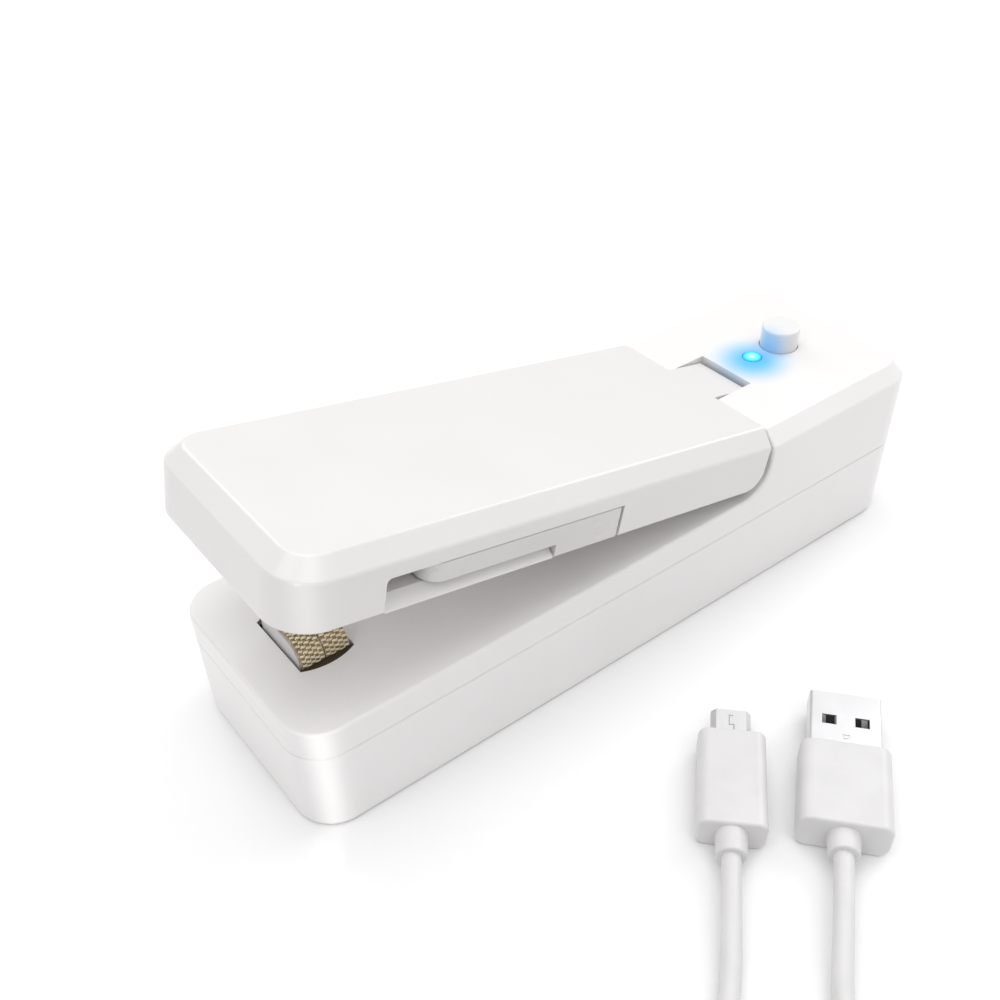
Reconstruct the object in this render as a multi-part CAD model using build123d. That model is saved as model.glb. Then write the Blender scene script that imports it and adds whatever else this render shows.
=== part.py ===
from build123d import *
import math
import os

"""A handheld bag heat sealer with its charging lead, in millimetres.

+X runs from the jaws to the rear block, -Y is the side with the cutter and +Z is up. The origin is the
centre of the base's underside. The arm is stored open. Its parts are modelled shut, where they lie flush
with the base, and are then turned about the hinge pin by open_angle.
"""

# Envelope of the base
length = 142.0
width = 43.0
parting_z = 17.1  # seam between the two base shells
deck_z = 22.8  # flat that the bag lies on
top_z = 35.1  # top of the rear block, and of the arm when it is shut
corner_r = 7.2  # upright corners, seen from above
chamfer_leg = 2.9
soft_r = 0.9  # rounding along both sides of the chamfer
bend_r = 6.2  # hollow between the deck and the rear block
edge_r = 0.6
foot_r = 1.0
wall = 2.0
seam_leg = 0.22  # half of the V groove along the seam
lip_thick = 0.9
lip_high = 1.2
slip = 0.1  # assembly gap between moulded pieces

# Hinge
crease_x = 29.7  # front face of the rear block
pivot_x = crease_x + 2.0
pivot_z = top_z - 5.0
open_angle = 11.7
pin_r = 1.0
pin_clearance = 0.05
notch_long = 9.1
notch_wide = 12.9
bay_deep = 10.1
bay_wall = 1.6
cheek = 2.6
knuckle_r = 3.2
knuckle_split = 4.8  # middle of the knuckle, where the spring's coil sits
spring_r = 1.75
spring_wire_r = 0.3
spring_pitch = 0.85
spring_turns = 4.25
spring_floor_leg = 4.7
spring_arm_leg = 2.8
spring_seat_z = pivot_z + 1.66  # underside of the rib that the spring lifts, with the arm shut
tongue_long = 7.4
tongue_wide = 12.3
tongue_thick = 2.2

# Arm
arm_rear_x = crease_x - 1.25
arm_thick = 11.6
arm_low_z = top_z - arm_thick
arm_wall = 1.8
arm_roof = 2.0
heel_r = 4.0
arm_edge_r = 0.45
plate_thick = 2.0
plate_top_z = arm_low_z + plate_thick

# Heater in its window of the deck
heater_front_x = -62.4
heater_rear_x = -53.2
heater_mid_x = (heater_front_x + heater_rear_x) / 2
heater_half_w = 6.2
heater_high = 3.45  # bare block above the deck
heater_low_z = 12.0
heater_post_y = 4.0
arch_r = 3.6
strip_thick = 0.15
strip_wide = 3.4
cloth_thick = 0.4
window_gap = 0.45
window_half_w = 7.3
window_bulge = 1.2
frame_low_z = 17.5
frame_end_drop = 0.25  # the frame's two ends below the deck
frame_side_drop = 2.0

# Pad in the arm, above the heater
pad_gap = 0.1
pad_low_z = deck_z + heater_high + strip_thick + cloth_thick + pad_gap
pad_thick = 3.0
pad_long = 10.6
pad_wide = 18.0
pad_room = 1.0
tray_wall = 1.2

# Cutter in the near side of the arm
recess_front_x = -54.7
recess_rear_x = -8.0
recess_top_z = top_z - 5.5
recess_back_y = -13.4
recess_wall = 1.2
recess_corner_r = 0.9
lever_gap = 0.35
lever_thick = 5.2
lever_nose_x = -47.4
lever_nose_r = 3.4
lever_corner_r = 0.5
lever_edge_r = 0.35
lever_step_x = -22.2
lever_step_r = 1.6  # rounds the step's inner corner, so that it turns clear of the ledge
lever_low_z = plate_top_z + 0.3
lever_high_z = recess_top_z - 0.2
ledge_slope_y = 2.1
ledge_edge = 0.3
cutter_pin_r = 0.7
cutter_pin_inset = (3.4, 1.7)  # from the lever's rear end and outer face
cutter_head_r = 1.2
cutter_head_high = 0.6
cutter_pin_top_z = top_z - 2.6
blade_front_x = -44.5
blade_rear_x = -32.0
blade_thick = 0.5
blade_proud = 2.2
blade_root = 1.5

# Button and light on the rear block
button_x = 53.6
button_r = 3.75
button_proud = 4.3
button_gap = 0.13
button_travel = 1.0
flange_r = 4.6
flange_thick = 1.2
stem_r = 1.6
lens_x = 46.0
lens_r = 1.9
lens_flange_r = 2.6
lens_proud = 0.15

# Control board, its parts and the charging socket
board_front_x = 41.5
board_rear_x = 68.4
board_half_w = 11.5
board_low_z = 18.2
board_thick = 1.6
board_top_z = board_low_z + board_thick
board_mid_z = board_low_z + board_thick / 2
board_post_x = 45.0
board_post_y = 8.8
board_rest_xs = (63.0, 65.0)
board_rest_half = 7.0
switch_side = 6.0
switch_high = 3.6
plunger_r = 1.7
plunger_high = 1.4
socket_wide = 7.5
socket_high = 2.6
socket_long = 5.5
socket_skin = 0.3
socket_front_x = 64.2
socket_mid_z = board_top_z + socket_high / 2

# Battery
cell_r = 7.0
cell_long = 49.0
cell_mid_x = -11.5
cell_mid_y = -9.5
cell_mid_z = wall + 0.6 + cell_r
cell_nub_r = 2.6
cell_nub_long = 0.8
cradle_half_w = 8.5
cradle_thick = 1.6
cradle_top_z = 8.0
cradle_apart = 34.0
tab_thick = 0.15
wire_r = 0.6
wire_bend_r = 3.0
heater_wire_y = 3.5
heater_wire_z = 14.0

# Screws, and the posts that take them
base_posts = [(x, y) for x in (-48.0, 61.0) for y in (-15.5, 15.5)]
base_post_r = 3.0
base_well_r = 2.4
base_well_top_z = 9.0
base_way_r = 1.25
base_shank_r = 0.9
base_shank_long = 11.0
base_head = (2.1, 1.8)  # radius and height
base_head_z = 7.2
arm_posts = [(-36.0, 5.0), (-8.0, 12.0), (16.0, -8.0)]
arm_post_r = 2.2
arm_way_r = 1.1
arm_shank_r = 0.8
arm_shank_long = 6.0
arm_head = (1.8, 1.0)
arm_head_room = (2.0, 1.2)
board_post_r = 2.2
board_shank_r = 0.8
board_shank_long = 5.0
board_head = (1.8, 1.2)

# Charging lead, lying on the surface that the base stands on. A route's points are (ahead, left, z).
lead_r = 1.6
lead_origin = (-34.3, -87.9)
lead_heading = math.radians(222.2)  # from the plugs towards the coil
coil_ahead = 38.0
coil_inner_r = 14.0
coil_outer_r = 20.6
coil_low_z = 0.4
coil_high_z = 6.9
tie_thick = 0.4
tie_wide = 5.0
relief_long = {"micro": 4.2, "usb_a": 3.5}
relief_tip_r = 2.5
overmould_long = {"micro": 19.5, "usb_a": 16.7}
overmould_wide = {"micro": 11.3, "usb_a": 14.8}
overmould_high = {"micro": 6.5, "usb_a": 7.5}
relief_root_r = {"micro": 2.65, "usb_a": 2.75}
micro_shell_long = 6.2
micro_shell_half = (3.42, 0.9)  # across and up
micro_shell_cut = 0.86
micro_shell_skin = 0.25
micro_core_top_z = -0.1
micro_contact_pitch = 0.65
usb_a_shell_long = 12.0
usb_a_shell_half = (6.0, 2.25)
usb_a_shell_skin = 0.3
usb_a_hole_y = 2.75
usb_a_contact_ys = (-3.5, -1.0, 1.0, 3.5)


# ---------------------------------------------------------------- shapes used by many pieces


def block(xs, ys, zs):
    """A box from its limits along each axis."""
    size = Box(xs[1] - xs[0], ys[1] - ys[0], zs[1] - zs[0])
    return Pos(sum(xs) / 2, sum(ys) / 2, sum(zs) / 2) * size


def upright(radius, x, y, zs):
    """A cylinder along Z."""
    return Pos(x, y, sum(zs) / 2) * Cylinder(radius, zs[1] - zs[0])


def crosswise(radius, x, z, ys):
    """A cylinder along Y."""
    return Pos(x, sum(ys) / 2, z) * Rot(90, 0, 0) * Cylinder(radius, ys[1] - ys[0])


def lengthwise(radius, y, z, xs):
    """A cylinder along X."""
    return Pos(sum(xs) / 2, y, z) * Rot(0, 90, 0) * Cylinder(radius, xs[1] - xs[0])


def rounded_prism(xs, half_w, radius, zs):
    """An upright prism with four rounded corners."""
    plan = Pos((xs[0] + xs[1]) / 2, 0, zs[0]) * RectangleRounded(xs[1] - xs[0], 2 * half_w, radius)
    return extrude(plan, zs[1] - zs[0])


def base_prism(inset, zs):
    """The base's outline, moved in by inset."""
    half_l = length / 2 - inset
    return rounded_prism((-half_l, half_l), width / 2 - inset, corner_r - inset, zs)


def across(outline, half_w):
    """A closed outline in the XZ plane, given thickness both ways along Y."""
    return extrude(Plane.XZ * make_face(outline), half_w, both=True)


def chamfer_rims(body, reaches):
    """The edges along both sides of the top chamfer, where reaches(x) is true at their middle."""
    levels = (top_z, top_z - chamfer_leg)
    rims = body.edges().filter_by(lambda e: min(abs(e.center().Z - z) for z in levels) < 0.01)
    return rims.filter_by(lambda e: reaches(e.center().X))


def opened(shape):
    """A piece of the arm, turned from shut to open about the hinge pin."""
    return Pos(pivot_x, 0, pivot_z) * Rot(0, open_angle, 0) * Pos(-pivot_x, 0, -pivot_z) * shape


def screw(x, y, head_z, head_size, shank_r, shank_long):
    """A pan-head screw that points up. Its cross slot opens downwards at head_z."""
    head_r, head_high = head_size
    head = upright(head_r, x, y, (head_z, head_z + head_high))
    head = chamfer(head.edges().group_by(Axis.Z)[0], 0.3)
    shank = upright(shank_r, x, y, (head_z + head_high, head_z + head_high + shank_long))
    shank = chamfer(shank.edges().group_by(Axis.Z)[-1], 0.4)
    arm = head_r * 0.6
    slot = 0.25
    deep = (head_z, head_z + head_high * 0.5)
    cross = block((x - arm, x + arm), (y - slot, y + slot), deep)
    cross += block((x - slot, x + slot), (y - arm, y + arm), deep)
    return head + shank - cross


# ---------------------------------------------------------------- base shells


def base_side_view(inset, low_z):
    """The upper shell's outline from the side, moved in by inset: deck, hollow bend, rear block."""
    bend_x, bend_z = crease_x - bend_r, deck_z + bend_r
    reach = bend_r + inset
    middle = (bend_x + reach * math.cos(math.pi / 4), bend_z - reach * math.sin(math.pi / 4))
    front, rear = -length / 2 + inset, length / 2 - inset
    bend = ThreePointArc((bend_x, deck_z - inset), middle, (crease_x + inset, bend_z))
    rest = Polyline(
        (crease_x + inset, bend_z),
        (crease_x + inset, top_z - inset),
        (rear, top_z - inset),
        (rear, low_z),
        (front, low_z),
        (front, deck_z - inset),
        (bend_x, deck_z - inset),
    )
    return bend + rest


def heater_window(shrink, zs):
    """The opening around the heater: straight front and rear, sides bulging outwards."""
    front = heater_front_x - window_gap + shrink
    rear = heater_rear_x + window_gap - shrink
    side = window_half_w - shrink
    near = ThreePointArc((rear, -side), (heater_mid_x, -side - window_bulge), (front, -side))
    far = ThreePointArc((front, side), (heater_mid_x, side + window_bulge), (rear, side))
    outline = near + Line((front, -side), (front, side)) + far + Line((rear, side), (rear, -side))
    return extrude(Pos(0, 0, zs[0]) * make_face(outline), zs[1] - zs[0])


def base_lower_shell():
    body = base_prism(0, (0, parting_z))
    body = fillet(body.edges().group_by(Axis.Z)[0], foot_r)
    body = chamfer(body.edges().group_by(Axis.Z)[-1], seam_leg)
    body -= base_prism(wall, (wall, parting_z))
    body += base_prism(wall - lip_thick, (parting_z - 1.0, parting_z + lip_high)) - base_prism(
        wall, (parting_z - 1.0, parting_z + lip_high)
    )
    floor_z = wall - 0.5  # posts and ribs start inside the floor
    for x, y in base_posts:
        body += upright(base_post_r, x, y, (floor_z, parting_z))
    for x, y in base_posts:
        body -= upright(base_well_r, x, y, (0, base_well_top_z))
        body -= upright(base_way_r, x, y, (base_well_top_z - 1.0, parting_z))
    for y in (-heater_post_y, heater_post_y):
        body += upright(board_post_r, heater_mid_x, y, (floor_z, heater_low_z))
    for y in (-board_post_y, board_post_y):
        body += upright(board_post_r, board_post_x, y, (floor_z, board_low_z))
        body -= upright(board_shank_r, board_post_x, y, (board_low_z - board_shank_long, board_low_z))
    body += block(board_rest_xs, (-board_rest_half, board_rest_half), (floor_z, board_low_z))
    for side in (-1, 1):
        x = cell_mid_x + side * cradle_apart / 2
        xs = (x - cradle_thick / 2, x + cradle_thick / 2)
        body += block(xs, (cell_mid_y - cradle_half_w, cell_mid_y + cradle_half_w), (floor_z, cradle_top_z))
    cell_xs = (cell_mid_x - cell_long / 2, cell_mid_x + cell_long / 2)
    return body - lengthwise(cell_r, cell_mid_y, cell_mid_z, cell_xs)


def base_upper_shell():
    body = across(base_side_view(0, parting_z), width) & base_prism(0, (0, top_z))
    top_edges = body.faces().sort_by(Axis.Z)[-1].edges()
    body = chamfer(top_edges.filter_by(lambda e: e.center().X > crease_x + 0.01), chamfer_leg)
    body = fillet(chamfer_rims(body, lambda x: x > crease_x + 0.01), soft_r)
    deck_edges = body.edges().filter_by(lambda e: abs(e.center().Z - deck_z) < 0.01)
    body = fillet(deck_edges.filter_by(lambda e: e.center().X < crease_x - bend_r - 1.0), edge_r)
    body = chamfer(body.edges().group_by(Axis.Z)[0], seam_leg)
    cavity = across(base_side_view(wall, 0), width) & base_prism(wall, (0, top_z))
    body -= cavity
    body -= base_prism(wall - lip_thick - slip, (parting_z, parting_z + lip_high + slip))
    # the hinge bay: cheeks, floor and rear wall around the notch
    half_notch = notch_wide / 2
    bay_low_z = top_z - bay_deep
    bay_rear_x = crease_x + notch_long
    bay = block(
        (crease_x, bay_rear_x + bay_wall),
        (-half_notch - cheek, half_notch + cheek),
        (bay_low_z - bay_wall, top_z - 1.0),
    )
    body += bay
    body -= block((crease_x - bend_r, bay_rear_x), (-half_notch, half_notch), (bay_low_z, top_z))
    body -= crosswise(pin_r, pivot_x, pivot_z, (-half_notch - cheek, half_notch + cheek))
    for x, y in base_posts:
        ceiling = deck_z - 1.0 if x < 0 else top_z - 1.0
        body += upright(base_post_r, x, y, (parting_z, ceiling))
        body -= upright(base_shank_r, x, y, (parting_z, parting_z + 4.0))
    body -= heater_window(0, (parting_z, deck_z))
    body -= upright(lens_r + slip, lens_x, 0, (parting_z, top_z))
    body -= upright(button_r + button_gap, button_x, 0, (parting_z, top_z))
    mouth = Pos(length / 2, 0, socket_mid_z) * Rot(0, 90, 0) * RectangleRounded(3.6, 8.6, 1.2)
    body -= extrude(mouth, wall + 1.0, both=True)
    return body


def base_screws():
    return [screw(x, y, base_head_z, base_head, base_shank_r, base_shank_long) for x, y in base_posts]


# ---------------------------------------------------------------- heater


def heater_arch(grow, low_z):
    """The heater's outline from the end, moved out by grow: upright sides, round shoulders, flat top."""
    half = heater_half_w + grow
    high = deck_z + heater_high + grow
    radius = arch_r + grow
    lean = radius * (1 - math.cos(math.pi / 4))
    near = ThreePointArc((-half, high - radius), (-half + lean, high - lean), (-half + radius, high))
    far = ThreePointArc((half - radius, high), (half - lean, high - lean), (half, high - radius))
    near_side = Line((-half, low_z), (-half, high - radius))
    top = Line((-half + radius, high), (half - radius, high))
    far_side = Line((half, high - radius), (half, low_z))
    return near_side + near + top + far + far_side + Line((half, low_z), (-half, low_z))


def heater_slab(grow, xs, low_z):
    """The heater's outline, given length along X."""
    face = Plane.YZ.offset(xs[0]) * make_face(heater_arch(grow, low_z))
    return extrude(face, xs[1] - xs[0])


def heater_block():
    body = heater_slab(0, (heater_front_x, heater_rear_x), heater_low_z)
    for y in (-heater_wire_y, heater_wire_y):
        body -= lengthwise(wire_r + 0.3, y, heater_wire_z, (heater_rear_x - 3.0, heater_rear_x))
    return body


def heating_strips():
    strips = []
    for side in (-1, 1):
        middle = heater_mid_x + side * 2.2
        xs = (middle - strip_wide / 2, middle + strip_wide / 2)
        strips.append(heater_slab(strip_thick, xs, 18.0) - heater_slab(0, xs, 17.0))
    return strips


def heater_cloth():
    xs = (heater_front_x + 0.15, heater_rear_x - 0.05)
    outer = strip_thick + cloth_thick
    body = heater_slab(outer, xs, 18.5) - heater_slab(strip_thick, xs, 17.0)
    groove = (heater_mid_x - 0.25, heater_mid_x + 0.25)
    return body - (heater_slab(outer + 1.0, groove, 18.5) - heater_slab(outer - 0.2, groove, 17.0))


def heater_frame():
    """Heat-proof surround. Its ends fill the window's bulges, and its sides lie deep in the gaps."""
    fit = slip / 2
    half = heater_half_w + strip_thick + cloth_thick + fit
    side_zs = (deck_z - frame_side_drop, deck_z)
    body = heater_window(fit, (frame_low_z, deck_z - frame_end_drop))
    body -= block((heater_front_x - fit, heater_rear_x + fit), (-half, half), (frame_low_z, deck_z))
    return body - block((heater_front_x - window_gap, heater_rear_x + window_gap), (-half, half), side_zs)


def wire(points):
    """A round wire along straight runs joined by arcs."""
    path = FilletPolyline(*points, radius=wire_bend_r)
    section = Plane(origin=path @ 0, z_dir=path % 0) * Circle(wire_r)
    return sweep(section, path=path)


def heater_wires():
    wires = []
    for side in (-1, 1):
        points = [
            (heater_rear_x - 2.0, side * heater_wire_y, heater_wire_z),
            (-44.0, side * heater_wire_y, heater_wire_z),
            (-38.0, 6.0 + side * 1.2, heater_wire_z),
            (30.0, 7.0 + side * 1.4, heater_wire_z),
            (board_front_x - 4.0, 4.0 + side * 1.4, board_mid_z),
            (board_front_x, 4.0 + side * 1.4, board_mid_z),
        ]
        wires.append(wire(points))
    return wires


# ---------------------------------------------------------------- battery


def battery_cell():
    half = cell_long / 2
    body = lengthwise(cell_r - 0.02, cell_mid_y, cell_mid_z, (cell_mid_x - half, cell_mid_x + half))
    body = fillet(body.edges(), 0.5)
    nub = (cell_mid_x + half - 0.1, cell_mid_x + half + cell_nub_long)
    return body + lengthwise(cell_nub_r, cell_mid_y, cell_mid_z, nub)


def battery_tabs():
    half = cell_long / 2
    ys = (cell_mid_y - 3.0, cell_mid_y + 3.0)
    zs = (cell_mid_z - 3.0, cell_mid_z + 5.5)
    lows = (cell_mid_x - half - tab_thick, cell_mid_x + half + cell_nub_long)
    return [block((x, x + tab_thick), ys, zs) for x in lows]


def battery_wires():
    half = cell_long / 2
    near_x = cell_mid_x + half + cell_nub_long + tab_thick
    far_x = cell_mid_x - half - tab_thick
    solder_z = cell_mid_z + 4.0
    short = [
        (near_x, cell_mid_y, solder_z),
        (near_x + 8.0, cell_mid_y, solder_z),
        (board_front_x - 4.0, -5.0, board_mid_z),
        (board_front_x, -5.0, board_mid_z),
    ]
    long = [
        (far_x, cell_mid_y, solder_z),
        (far_x - 5.0, cell_mid_y, solder_z),
        (far_x - 5.0, 0.0, solder_z),
        (20.0, 0.0, solder_z),
        (board_front_x - 4.0, -2.0, board_mid_z),
        (board_front_x, -2.0, board_mid_z),
    ]
    return [wire(short), wire(long)]


# ---------------------------------------------------------------- electronics


def control_board():
    body = block((board_front_x, board_rear_x), (-board_half_w, board_half_w), (board_low_z, board_top_z))
    for y in (-board_post_y, board_post_y):
        body -= upright(board_shank_r + 0.3, board_post_x, y, (board_low_z, board_top_z))
    return body


def board_components():
    """Charger chip, switching transistor, coil and capacitors."""
    z = board_top_z
    places = [
        ((58.0, 62.0), (-9.5, -5.5), 1.4),
        ((58.0, 62.5), (5.0, 10.0), 1.6),
        ((50.0, 55.0), (5.5, 10.5), 3.0),
        ((48.5, 50.5), (-8.0, -6.8), 1.0),
        ((52.5, 54.5), (-8.0, -6.8), 1.0),
    ]
    return [block(xs, ys, (z, z + high)) for xs, ys, high in places]


def board_screws():
    screws = []
    for y in (-board_post_y, board_post_y):
        flip = Pos(board_post_x, y, board_top_z + board_head[1]) * Rot(180, 0, 0)
        screws.append(flip * screw(0, 0, 0, board_head, board_shank_r, board_shank_long))
    return screws


def micro_usb_socket():
    rear = socket_front_x + socket_long
    z0, z1 = board_top_z, board_top_z + socket_high
    half = socket_wide / 2
    body = block((socket_front_x, rear), (-half, half), (z0, z1))
    body = fillet(body.edges().filter_by(Axis.X), 0.5)
    inner = half - socket_skin
    return body - block((socket_front_x + 0.8, rear), (-inner, inner), (z0 + socket_skin, z1 - socket_skin))


def socket_tongue():
    z1 = board_top_z + socket_high - socket_skin
    return block((socket_front_x + 0.8, socket_front_x + 4.6), (-1.85, 1.85), (z1 - 0.65, z1))


def led_chip():
    return block((lens_x - 0.8, lens_x + 0.8), (-1.6, 1.6), (board_top_z, board_top_z + 1.1))


def led_lens():
    body = upright(lens_r, lens_x, 0, (board_top_z + 1.5, top_z + lens_proud))
    body = fillet(body.edges().group_by(Axis.Z)[-1], 0.3)
    ceiling = top_z - wall
    return body + upright(lens_flange_r, lens_x, 0, (ceiling - 1.0, ceiling))


def button_switch():
    half = switch_side / 2
    top = board_top_z + switch_high
    body = block((button_x - half, button_x + half), (-half, half), (board_top_z, top))
    return body - upright(plunger_r + 0.1, button_x, 0, (board_top_z + 1.4, top))


def switch_plunger():
    top = board_top_z + switch_high + plunger_high
    return upright(plunger_r, button_x, 0, (board_top_z + 1.5 + button_travel, top))


def power_button():
    knob_low = top_z - wall - flange_thick - 0.05
    knob = upright(button_r, button_x, 0, (knob_low, top_z + button_proud))
    knob = fillet(knob.edges().group_by(Axis.Z)[-1], 0.45)
    flange = upright(flange_r, button_x, 0, (knob_low, knob_low + flange_thick))
    stem = upright(stem_r, button_x, 0, (board_top_z + switch_high + plunger_high, knob_low))
    return knob + flange + stem


# ---------------------------------------------------------------- hinge


def hinge_pin():
    half = notch_wide / 2 + cheek
    body = crosswise(pin_r, pivot_x, pivot_z, (-half, half))
    return chamfer(body.edges().filter_by(GeomType.CIRCLE), 0.2)


def hinge_spring():
    """Torsion spring: a coil round the pin, a leg to the bay's floor and a leg forward under the arm."""
    span = spring_pitch * spring_turns
    coil = Helix(spring_pitch, span, spring_r)
    start, end = coil @ 0, coil @ 1
    floor_leg = Line(start - (coil % 0) * spring_floor_leg, start)
    arm_leg = Line(end, end + (coil % 1) * spring_arm_leg)
    path = floor_leg + coil + arm_leg
    section = Plane(origin=path @ 0, z_dir=path % 0) * Circle(spring_wire_r)
    spring = sweep(section, path=path, is_frenet=True)
    return Pos(pivot_x, span / 2, pivot_z) * Rot(90, 0, 0) * spring


# ---------------------------------------------------------------- arm


def arm_outline():
    """The shut arm from the side: square front, rounded heel."""
    front = -length / 2
    low = arm_low_z
    heel_mid = heel_r * (1 - math.cos(math.pi / 4))
    rear = arm_rear_x
    heel = ThreePointArc((rear, low + heel_r), (rear - heel_mid, low + heel_mid), (rear - heel_r, low))
    corners = [(rear - heel_r, low), (front, low), (front, top_z), (rear, top_z), (rear, low + heel_r)]
    return heel + Polyline(*corners)


def arm_prism(inset, zs):
    """The arm's outline from above, moved in by inset: only the front corners are rounded."""
    body = rounded_prism((-length / 2 + inset, length), width / 2 - inset, corner_r - inset, zs)
    return body & block((-length, arm_rear_x - inset), (-width, width), zs)


def arm_top_shell():
    body = across(arm_outline(), width) & arm_prism(0, (arm_low_z, top_z))
    top_edges = body.faces().sort_by(Axis.Z)[-1].edges()
    body = chamfer(top_edges.filter_by(lambda e: e.center().X < arm_rear_x - 0.01), chamfer_leg)
    body = fillet(chamfer_rims(body, lambda x: x < arm_rear_x - 0.01), soft_r)
    heel_x = arm_rear_x - heel_r
    low_edges = body.edges().filter_by(lambda e: e.center().Z < arm_low_z + heel_r - 0.01)
    body = fillet(low_edges.filter_by(lambda e: abs(e.center().X - heel_x) > 0.01), arm_edge_r)
    cavity = arm_prism(arm_wall, (arm_low_z, top_z - arm_roof))
    cavity = chamfer(cavity.edges().group_by(Axis.Z)[-1], 1.5)
    ends = (recess_front_x - recess_wall, recess_rear_x + recess_wall)
    cavity -= block(ends, (-width, recess_back_y + recess_wall), (arm_low_z, top_z))
    for x, y in arm_posts:
        cavity -= upright(arm_post_r, x, y, (plate_top_z + slip, top_z))
    body -= cavity
    recess = block((recess_front_x, recess_rear_x), (-width, recess_back_y), (arm_low_z - 1.0, recess_top_z))
    body -= fillet(recess.edges().filter_by(Axis.Y).group_by(Axis.Z)[-1].sort_by(Axis.X)[0], recess_corner_r)
    over_ledge = (recess_front_x, lever_step_x)
    body -= block(over_ledge, (recess_back_y - 1.0, recess_back_y + recess_wall), (arm_low_z, plate_top_z))
    for x, y in arm_posts:
        body -= upright(arm_shank_r, x, y, (plate_top_z, top_z - 3.0))
    body -= upright(cutter_pin_r, *cutter_pivot(), (recess_top_z - 1.0, cutter_pin_top_z))
    # tongue and knuckle that reach into the notch
    half = tongue_wide / 2
    tongue_rear_x = crease_x + tongue_long
    body += block((arm_rear_x - 1.0, tongue_rear_x), (-half, half), (top_z - tongue_thick, top_z))
    knuckle = crosswise(knuckle_r, pivot_x, pivot_z, (-half, half))
    root_z = top_z - 1.0  # knuckle and spring seat end inside the tongue
    knuckle += block((arm_rear_x - 1.0, pivot_x), (-half, half), (pivot_z - knuckle_r + 1.2, root_z))
    knuckle += block((pivot_x, pivot_x + knuckle_r), (-half, half), (pivot_z, root_z))
    split = knuckle_split / 2
    split_xs = (arm_rear_x, pivot_x + knuckle_r + 1.0)
    knuckle -= block(split_xs, (-split, split), (arm_low_z, top_z - tongue_thick))
    body += knuckle
    seat_xs = (arm_rear_x - 1.0, pivot_x - knuckle_r + 1.0)
    body += block(seat_xs, (-split, split), (spring_seat_z, root_z))
    body -= crosswise(pin_r + pin_clearance, pivot_x, pivot_z, (-half, half))
    return opened(body)


def arm_bottom_plate():
    zs = (arm_low_z, plate_top_z)
    heel = arm_rear_x - heel_r
    body = arm_prism(arm_wall + slip, zs) & block((-length, heel), (-width, width), zs)
    ends = (recess_front_x - recess_wall - slip, recess_rear_x + recess_wall + slip)
    body -= block(ends, (-width, recess_back_y + recess_wall + slip), zs)
    # ledge under the cutter lever, sloping up from the arm's lower edge
    outer_y = -width / 2
    slope = Polyline(
        (outer_y, arm_low_z),
        (outer_y, arm_low_z + ledge_edge),
        (outer_y + ledge_slope_y, plate_top_z),
        (recess_back_y + recess_wall + slip, plate_top_z),
        (recess_back_y + recess_wall + slip, arm_low_z),
        (outer_y, arm_low_z),
    )
    ledge_xs = (recess_front_x + slip, lever_step_x - lever_gap)
    ledge = extrude(Plane.YZ.offset(ledge_xs[0]) * make_face(slope), ledge_xs[1] - ledge_xs[0])
    body += ledge
    # tray that holds the pad
    room_long = pad_long / 2 + pad_room
    room_half = pad_wide / 2 + pad_room
    pad_top = pad_low_z + pad_thick
    tray_xs = (heater_mid_x - room_long - tray_wall, heater_mid_x + room_long + tray_wall)
    tray_half = room_half + tray_wall
    body += block(tray_xs, (-tray_half, tray_half), (arm_low_z, pad_top + tray_wall))
    room_xs = (heater_mid_x - room_long, heater_mid_x + room_long)
    body -= block(room_xs, (-room_half, room_half), (arm_low_z, pad_top))
    for x, y in arm_posts:
        body -= upright(arm_way_r, x, y, zs)
        body -= upright(arm_head_room[0], x, y, (arm_low_z, arm_low_z + arm_head_room[1]))
    return opened(body)


def arm_screws():
    low = arm_low_z + arm_head_room[1] - arm_head[1]
    return [opened(screw(x, y, low, arm_head, arm_shank_r, arm_shank_long)) for x, y in arm_posts]


def press_pad():
    body = block(
        (heater_mid_x - pad_long / 2, heater_mid_x + pad_long / 2),
        (-pad_wide / 2, pad_wide / 2),
        (pad_low_z, pad_low_z + pad_thick),
    )
    return opened(fillet(body.edges().group_by(Axis.Z)[0], 0.5))


# ---------------------------------------------------------------- cutter


def cutter_pivot():
    """Middle of the pin, seen from above."""
    return recess_rear_x - lever_gap - cutter_pin_inset[0], -width / 2 + cutter_pin_inset[1]


def lever_slab(front_x, zs):
    """The lever from front_x to its rear end, whose outer corner is rounded so that it can turn."""
    ys = (-width / 2, -width / 2 + lever_thick)
    slab = block((front_x, recess_rear_x - lever_gap), ys, zs)
    return fillet(slab.edges().filter_by(Axis.Z).group_by(Axis.Y)[0].sort_by(Axis.X)[-1], lever_corner_r)


def blade_shape():
    """Trapezoidal blade that stands out of the lever's inner face."""
    face_y = -width / 2 + lever_thick
    middle_z = (lever_low_z + lever_high_z) / 2
    plan = Polyline(
        (blade_front_x, face_y - blade_root),
        (blade_front_x, face_y),
        (blade_front_x + 1.5, face_y + blade_proud),
        (blade_rear_x - 4.0, face_y + blade_proud),
        (blade_rear_x, face_y),
        (blade_rear_x, face_y - blade_root),
        (blade_front_x, face_y - blade_root),
    )
    return extrude(Pos(0, 0, middle_z - blade_thick / 2) * make_face(plan), blade_thick)


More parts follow.
